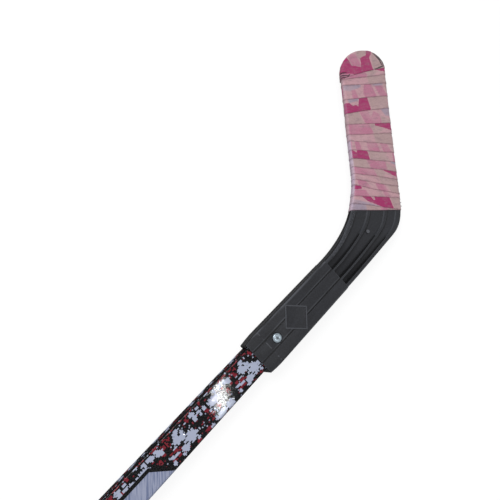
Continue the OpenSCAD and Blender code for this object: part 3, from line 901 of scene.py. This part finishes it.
def toe_patch():
    """A patch of the same cloth, folded over the toe, with a free edge across each face"""
    obj, fold, share = new_sheet("toe_tape_patch", 132, 150)
    fold = fold * 2 - 1

    # the toe's edge, from the patch's upper corner to its lower one: a straight, two arcs and
    # another straight
    upper_a, lower_a = PATCH_UPPER_A * MM, PATCH_LOWER_A * MM
    upper_run = TOE_A - upper_a
    upper_arc = TOE_HIGH_R * math.pi / 2
    lower_arc = TOE_LOW_R * math.pi / 2
    lower_run = max(0, BLADE_LEN - TOE_LOW_R - lower_a)
    total = upper_run + upper_arc + lower_arc + lower_run
    run = share * total
    turn_high = np.clip((run - upper_run) / TOE_HIGH_R, 0, math.pi / 2)
    turn_low = np.clip((run - upper_run - upper_arc) / TOE_LOW_R, 0, math.pi / 2)
    facing = math.pi / 2 - turn_high - turn_low
    on_high = run < upper_run + upper_arc
    centre_a = np.where(on_high, np.minimum(upper_a + run, TOE_A), BLADE_LEN - TOE_LOW_R)
    centre_a = centre_a - np.maximum(0, run - upper_run - upper_arc - lower_arc)
    radius = np.where(on_high, TOE_HIGH_R, TOE_LOW_R)
    normal = np.stack([np.cos(facing), np.sin(facing)], -1)
    edge = np.stack([centre_a, np.full(len(run), TOE_LOW_R)], -1) + radius[:, None] * normal

    # the free edge, straight across each face
    start = np.array([upper_a, edge[share < 1e-6][0][1]])
    finish = np.array([lower_a, 0.0])
    ease = share + 0.02 * np.sin(share * 19) * share * (1 - share)
    free = start + ease[:, None] * (finish - start)
    bow = np.sin(share * math.pi) * 1.2 * MM
    free = free + bow[:, None] * np.array([1.0, 0.4])

    # from the free edge over the face, around the toe's edge and back
    _, _, half, middle = blade_outline(edge[:, 0])
    turn_share = 0.16
    side = np.sign(fold)
    size = np.abs(fold)
    over = np.clip((1 - size) / (1 - turn_share), 0, 1)
    inner = edge - EDGE_R * normal
    flat_part = free + over[:, None] * (inner - free)
    bend = np.clip(size / turn_share, 0, 1) * math.pi / 2
    within = size < turn_share
    spot = np.where(within[:, None], inner, flat_part)

    # it lies over the far edges of the blade's last turns, and is gathered along the toe
    plies = 0
    for upper, lower, _ in (LAPS[-2], LAPS[-3]):
        lap = np.interp(spot[:, 1], [0, TOE_H], [lower, upper]) * MM + TAPE_W
        plies = plies + np.clip((lap - spot[:, 0]) / (3 * MM) + 0.5, 0, 1)
    puckers = np.array([noise.noise(Vector((r * 260, s * 1.5, 1))) for r, s in zip(run, size)])
    near_edge = np.clip(1 - size / 0.5, 0, 1)
    lift = plies * PLY_T + 0.06 * MM + 0.35 * MM * near_edge * np.maximum(0, puckers)
    creased = crease_depth(spot[:, 0] / MM, spot[:, 1] / MM)
    lift = lift + 0.3 * MM * (1 - creased) * near_edge
    _, _, half_here, middle_here = blade_outline(spot[:, 0])
    out = np.where(within, (half - EDGE_R) * side + (EDGE_R + lift) * np.sin(bend) * side,
                   (half_here + lift) * side)
    level = np.where(within, middle, middle_here)
    swing = np.where(within, (EDGE_R + lift) * np.cos(bend), 0)
    spot = spot + swing[:, None] * normal
    points = on_blade(spot[:, 0], spot[:, 1], out, level)
    obj.data.vertices.foreach_set("co", points.ravel())

    a_mm, across_mm = spot[:, 0] / MM, spot[:, 1] / MM
    across_mm = np.where(side < 0, BACK_FLIP - across_mm, across_mm)
    for ink, outlines in TOE_PRINT.items():
        set_attribute(obj, ink, print_depth([(0, one) for one in outlines], a_mm, across_mm))
    set_attribute(obj, "to_next", np.full(len(run), FAR))
    set_attribute(obj, "crease", creased)
    set_map(obj, run, np.linalg.norm(spot - free, axis=1))
    finish_cloth(obj)
    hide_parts("toe_tape")
    return obj


def shaft_place(turns, along, lift):
    across, out = around(turns, -FILM_HALF_W, FILM_HALF_W, FILM_HALF_T, FILM_CORNER, lift)
    return np.stack([FILM_LOW.x + along, across, AXIS_Z + out], -1)


def grip_tape():
    """The same tape wound around the grip, from its lower end up to the knob"""
    low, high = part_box("grip_tape")
    pitch = 12 * MM
    turn_len = 2 * (FILM_HALF_W + FILM_HALF_T) * 2 - 8 * FILM_CORNER + 2 * math.pi * FILM_CORNER
    turns_in_all = int((high.x - low.x - TAPE_W) / pitch) + 2
    start = low.x - FILM_LOW.x - 1.5 * MM

    def lap_at(turns):
        onward = np.maximum(0, turns - 1)
        return start + pitch * onward + 0.4 * MM * np.sin(onward * 5.1)

    obj, turns, across = wound_tape("wound_grip_tape", 0, turns_in_all, lap_at, shaft_place,
                                    turns_in_all * 72, 13)
    print_tape(obj, turns * turn_len / TURN_LEN, across)
    finish_cloth(obj)
    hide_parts("grip_tape")
    turns_in_all * turn_len
    return obj


def knob_tape():
    """Tape rolled up on itself at the butt end"""
    low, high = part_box("knob_tape")
    turns_in_all = 8.75
    rise = (FILM_LOW.z - 0.8 * MM) / turns_in_all

    def lap_at(turns):
        sway = 0.5 + 0.3 * np.sin(turns * 2.1) + 0.1 * np.sin(turns * 5)
        return (high.x - low.x - TAPE_W) * sway

    def rolled_place(turns, along, lift):
        return shaft_place(turns, along, lift + rise * turns)

    obj, turns, across = wound_tape("rolled_knob_tape", 0, turns_in_all, lap_at, rolled_place,
                                    640, 10, earlier=())
    print_tape(obj, turns * 0.75, across, 40)
    finish_cloth(obj)
    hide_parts("knob_tape")
    return obj


# ---- Blade and screw ----

def inside_neck(place):
    """True between the neck's two outer edges, away from their rounding"""
    from_turn = math.hypot(place.x - NECK_TURN[0], place.y - NECK_TURN[1])
    clear = 4.5 * MM
    return (place.x > STEP_X and place.y > SOCKET_LOW.y + clear
            and (place.y < TOE_SIDE - clear or from_turn > NECK_R + clear))


def sharpen_ribs(obj):
    """Keeps the feet and tops of the ribs crisp, where they run out towards the tape"""
    bpy.ops.object.mode_set(mode="EDIT")
    bpy.ops.mesh.select_mode(type="EDGE")
    bpy.ops.mesh.select_all(action="DESELECT")
    bpy.ops.mesh.edges_select_sharp(sharpness=math.radians(10))
    bpy.ops.object.mode_set(mode="OBJECT")
    points = obj.data.vertices
    for edge in obj.data.edges:
        if edge.select and all(inside_neck(points[end].co) for end in edge.vertices):
            edge.use_edge_sharp = True


def moulded_blade():
    """The blade's moulding, with its edges rounded as they leave the mould"""
    obj = new_object("moulded_blade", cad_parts["blade"].data.copy())
    active(obj)
    bpy.ops.object.mode_set(mode="EDIT")
    bpy.ops.mesh.select_all(action="SELECT")
    bpy.ops.mesh.remove_doubles(threshold=0.002 * MM)
    bpy.ops.mesh.dissolve_limited(angle_limit=math.radians(0.3))
    bpy.ops.object.mode_set(mode="OBJECT")
    round_edges(obj, 0.35 * MM, 35)
    sharpen_ribs(obj)
    give_finish(obj, FINISHES["plastic"])
    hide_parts("blade")
    return obj


def pick_faces(obj, wanted):
    """Selects the faces for which wanted(centre, normal) holds, and leaves the rest"""
    active(obj)
    bpy.ops.object.mode_set(mode="EDIT")
    bpy.ops.mesh.select_mode(type="FACE")
    bpy.ops.mesh.select_all(action="DESELECT")
    bpy.ops.object.mode_set(mode="OBJECT")
    for face in obj.data.polygons:
        face.select = wanted(face.center, face.normal)
    bpy.ops.object.mode_set(mode="EDIT")


def recess_cutter(middle, top, length, turn):
    """One tapered arm of the cross recess"""
    cutter = new_mesh("recess_cutter", bpy.ops.mesh.primitive_cube_add, size=1)
    cutter.dimensions = (length, 1.05 * MM, 3 * MM)
    settle(cutter)
    pick_faces(cutter, lambda centre, normal: normal.z < -0.9)
    bpy.ops.transform.resize(value=(0.35, 0.6, 1), center_override=(0, 0, 0))
    bpy.ops.object.mode_set(mode="OBJECT")
    cutter.rotation_euler = (0, 0, turn)
    cutter.location = (middle.x, middle.y, top)
    settle(cutter)
    return cutter


# The screw
HEAD_T = 2.72 * MM
SHANK_R = 1.75 * MM
THREAD_R = 2.35 * MM
PITCH = 2 * MM
POINT_LEN = 4 * MM


def pan_head_screw():
    """The screw: a rounded head with a cross recess, and a threaded shank down to its point"""
    low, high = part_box("socket_screw")
    head_r = (high.x - low.x) / 2
    middle = (low + high) / 2
    seat = high.z - HEAD_T
    obj = new_mesh("pan_head_screw", bpy.ops.mesh.primitive_cylinder_add, vertices=48,
                   radius=head_r, depth=HEAD_T, location=(middle.x, middle.y, high.z - HEAD_T / 2))
    settle(obj)

    # the head's rounded rim
    pick_faces(obj, lambda centre, normal: normal.z > 0.9)
    bpy.ops.mesh.bevel(offset=2.3 * MM, segments=7, profile=0.5)

    # the shank grows from the head's underside, turn by turn, to a point
    pick_faces(obj, lambda centre, normal: normal.z < -0.9)
    under = (middle.x, middle.y, seat)
    bpy.ops.mesh.inset(thickness=head_r - SHANK_R)
    turns = int((seat - low.z - POINT_LEN) / PITCH)
    steps = [(0.45 * PITCH, THREAD_R / SHANK_R), (0.1 * PITCH, 1),
             (0.45 * PITCH, SHANK_R / THREAD_R)]
    for drop, size in steps * turns + [(seat - low.z - turns * PITCH, 0.12)]:
        bpy.ops.mesh.extrude_region_move(TRANSFORM_OT_translate={"value": (0, 0, -drop)})
        bpy.ops.transform.resize(value=(size, size, 1), center_override=under)
    bpy.ops.object.mode_set(mode="OBJECT")

    for turn in (20, 110):
        cutter = recess_cutter(middle, high.z, head_r * 1.05, math.radians(turn))
        apply_modifier(obj, "BOOLEAN", object=cutter, operation="DIFFERENCE", solver="EXACT")
        put_in_order(obj)
        bpy.data.objects.remove(cutter)
    round_edges(obj, 0.12 * MM, 40)
    give_finish(obj, FINISHES["zinc"])
    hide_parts("socket_screw")
    return obj


def frayed_threads():
    """Short cotton threads that have worked loose from the tape at the heel"""
    parts = []
    for number in range(9):
        a = (23.5 + 1.35 * number + 0.5 * math.sin(number * 4.1)) * MM
        low, _, half, middle = blade_outline(np.array(a))
        reach = (1.2 + 0.5 * math.sin(number * 2.3)) * MM
        lean = 0.7 * math.sin(number * 3.7)
        up = (0.3 + 0.5 * math.sin(number * 1.9)) * float(half)
        root = on_blade(np.array(a), low - 0.3 * MM, np.array(up), middle)
        tip = on_blade(np.array(a + lean * reach), low - 0.6 * MM - reach, np.array(up), middle)
        along = Vector(tip) - Vector(root)
        part = new_mesh("thread", bpy.ops.mesh.primitive_cone_add, vertices=7,
                        radius1=0.7 * MM, radius2=0.45 * MM, depth=along.length)
        part.rotation_mode = "QUATERNION"
        part.rotation_quaternion = along.to_track_quat("Z", "Y")
        part.location = (Vector(tip) + Vector(root)) / 2
        settle(part)
        parts.append(part)
    obj = parts[0]
    active(obj)
    for part in parts:
        part.select_set(True)
    bpy.ops.object.join()
    obj.name = "frayed_tape_threads"
    apply_modifier(obj, "SUBSURF", levels=1, render_levels=1)
    bpy.ops.object.shade_smooth()
    give_finish(obj, FINISHES["thread"])
    return obj


# ---- Camera, floor and light ----

CAMERA_AT = Vector((-0.1562, 0.0898, 0.4311))
CAMERA_AIM = Vector((0.0129, 0.0856, 0.0130))
CAMERA_ROLL = math.radians(48.68)
LENS = 29.3
SKY_LIGHT = (0.48, 0.48, 0.49, 1)
FLOOR_BASE = (0.22, 0.22, 0.22, 1)
FLOOR_GLOW = 0.84
LAMP_X, LAMP_Y = -0.0215, -0.2107


def add_camera():
    data = bpy.data.cameras.new("camera")
    data.lens = LENS
    data.sensor_width = 36
    data.clip_start = 0.01
    camera = new_object("camera", data)
    look = (CAMERA_AIM - CAMERA_AT).to_track_quat("-Z", "Y")
    camera.rotation_mode = "QUATERNION"
    camera.rotation_quaternion = look @ Quaternion((0, 0, 1), CAMERA_ROLL)
    camera.location = CAMERA_AT
    bpy.context.scene.camera = camera


def seen_share(tree):
    """1 for what the camera, mirrors and glass see, 0 for what lights the scene"""
    path = tree.nodes.new("ShaderNodeLightPath").outputs
    share = calc("MAXIMUM", Value(path["Is Camera Ray"]), Value(path["Is Glossy Ray"]))
    return calc("MAXIMUM", share, Value(path["Is Transmission Ray"]))


def add_floor():
    floor = new_mesh("floor", bpy.ops.mesh.primitive_plane_add, size=6, location=(0, 0, -0.0002))
    material, tree, shader = new_finish("floor_white", 0.9, 0.1)
    shader.inputs["Base Color"].default_value = FLOOR_BASE
    shader.inputs["Emission Color"].default_value = (1, 1, 1, 1)
    feed(shader.inputs["Emission Strength"], seen_share(tree) * FLOOR_GLOW)
    give_finish(floor, material)


def area_light(name, place, aim, size, power, long=None):
    data = bpy.data.lights.new(name, "AREA")
    data.energy = power
    data.size = size
    if long is not None:
        data.shape = "RECTANGLE"
        data.size_y = long
    light = new_object(name, data)
    light.location = place
    light.rotation_mode = "QUATERNION"
    light.rotation_quaternion = (Vector(aim) - Vector(place)).to_track_quat("-Z", "Y")
    return light


def add_lights():
    world = bpy.data.worlds.new("soft_light")
    world.use_nodes = True
    tree = world.node_tree
    background = tree.nodes["Background"]
    feed(background.inputs["Color"], blend(seen_share(tree), SKY_LIGHT, (1, 1, 1, 1)))
    bpy.context.scene.world = world
    area_light("softbox", (-0.2, 0.85, 0.95), (0.05, 0.03, 0), 0.8, 10)
    # a slim lamp whose reflection lies across the film, near the socket
    lamp = area_light("slim_lamp", (LAMP_X, LAMP_Y, 1.0), (LAMP_X, LAMP_Y, 0), 0.015, 1.1, 0.1)
    lamp.rotation_mode = "XYZ"
    lamp.rotation_euler = (0, 0, -math.atan2(0.554, 0.832))


# ---- The whole scene ----

bpy.context.scene.view_settings.view_transform = "Standard"
add_camera()
add_floor()
add_lights()

FINISHES = {
    "film": printed_film_finish(),
    "veneer": wood_finish("veneer_wood", srgb(196, 160, 112), srgb(150, 110, 68), 26),
    "core": wood_finish("core_wood", srgb(214, 184, 138), srgb(176, 138, 92), 18),
    "core_dark": wood_finish("core_wood_dark", srgb(198, 162, 114), srgb(156, 116, 74), 20),
    "plastic": moulded_plastic_finish(),
    "zinc": zinc_finish(),
    "thread": thread_finish(),
    "cloth": cloth_finish("printed_cloth_tape", srgb(192, 150, 157), srgb(176, 148, 147),
                          srgb(184, 118, 142), srgb(158, 144, 160), srgb(162, 44, 100)),
}
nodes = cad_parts
give_finish(nodes["printed_film"], FINISHES["film"])
for name in ("front_veneer", "back_veneer"):
    give_finish(nodes[name], FINISHES["veneer"])
for number in range(1, 6):
    give_finish(nodes[f"core_ply_{number}"], FINISHES["core" if number % 2 else "core_dark"])

PIECES = [moulded_blade(), pan_head_screw(), blade_tape(), frayed_threads(), toe_patch(),
          grip_tape(), knob_tape()]
for piece in PIECES:
    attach(piece, "root")
